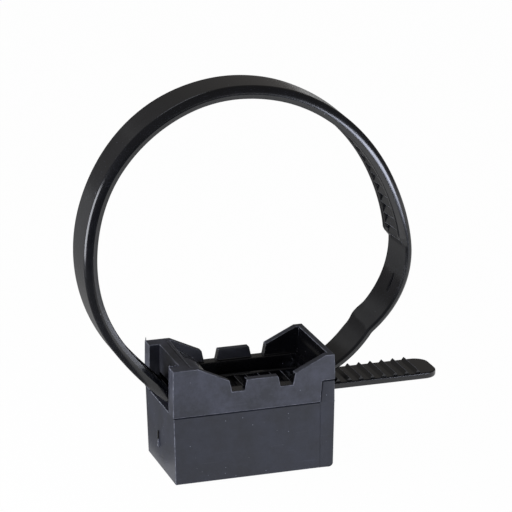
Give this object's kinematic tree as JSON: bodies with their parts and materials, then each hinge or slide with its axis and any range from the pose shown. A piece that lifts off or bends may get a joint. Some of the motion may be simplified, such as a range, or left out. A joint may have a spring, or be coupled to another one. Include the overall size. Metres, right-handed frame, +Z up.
{
  "type": "conduit clip",
  "caption": "One-piece moulded conduit clip: a box saddle with a notched cradle on top, and a toothed ratchet strap that loops round the conduit and locks in the saddle.",
  "frame": {"origin": "centre of the saddle's base, on the axis of the fixing hole", "axes": "+X along the saddle towards the strap's free tail, +Y across the saddle along the conduit, +Z up from the wall through the loop"},
  "size_m": [0.0752, 0.0214, 0.08],
  "materials": {
    "moulded_nylon": "satin black, glossier on the strap"
  },
  "bodies": {
    "root": {"conduit_clip": "moulded_nylon"}
  },
  "joints": []
}
